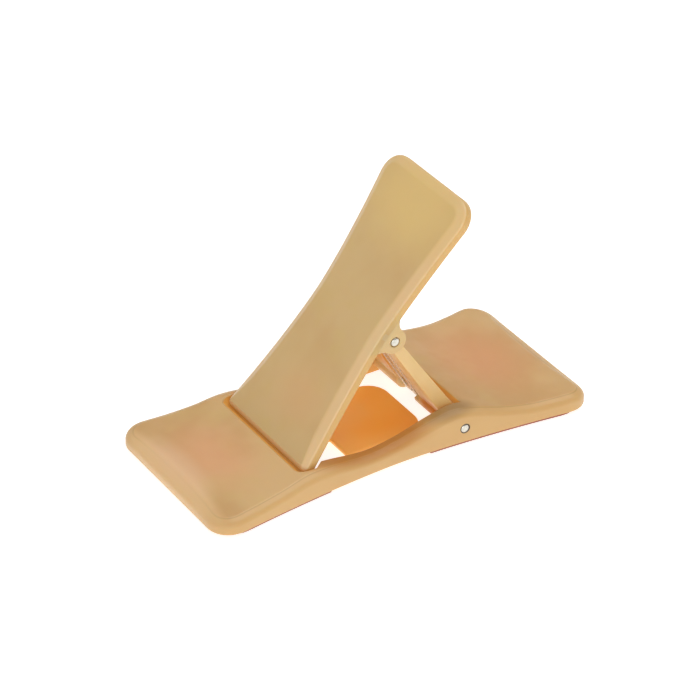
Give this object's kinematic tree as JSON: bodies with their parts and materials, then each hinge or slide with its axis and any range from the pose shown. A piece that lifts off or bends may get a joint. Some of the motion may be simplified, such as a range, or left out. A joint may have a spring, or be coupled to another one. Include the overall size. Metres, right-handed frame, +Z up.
{
  "type": "sprung lever hair clip",
  "caption": "Flat hair clip: an arched frame with a window, a sprung lever standing out of it and a short pinned link between the two.",
  "frame": {"origin": "on the table under the middle of the clip", "axes": "+X along the clip towards the end plate beside the link, +Y across it, +Z up"},
  "size_m": [0.1, 0.0462, 0.0596],
  "materials": {
    "caramel_plastic": "satin, slightly translucent caramel",
    "amber_plastic": "satin amber",
    "liner_rubber": "matt soft liner",
    "steel": "polished"
  },
  "bodies": {
    "frame": {"base_frame": "caramel_plastic", "left_grip_pad": "liner_rubber", "right_grip_pad": "liner_rubber", "hair_rest_tongue": "amber_plastic", "link_pin": "steel", "link_spring": "steel"},
    "link": {"link": "caramel_plastic"},
    "lever": {"lever": "caramel_plastic", "lever_pin": "steel", "lever_spring": "steel"}
  },
  "joints": [
    {"name": "link_hinge", "type": "hinge", "parent": "frame", "child": "link", "pos_m": [0.0164, 0, 0.00455], "axis": [0, 1, 0], "range_deg": [0, 17], "stiffness_Nm_per_rad": 0.12, "springref_deg": -6.88},
    {"name": "lever_hinge", "type": "hinge", "parent": "link", "child": "lever", "pos_m": [0.00176, 0, 0.02913], "axis": [0, 1, 0], "range_deg": [0, 45], "stiffness_Nm_per_rad": 0.12, "springref_deg": -14.32}
  ]
}
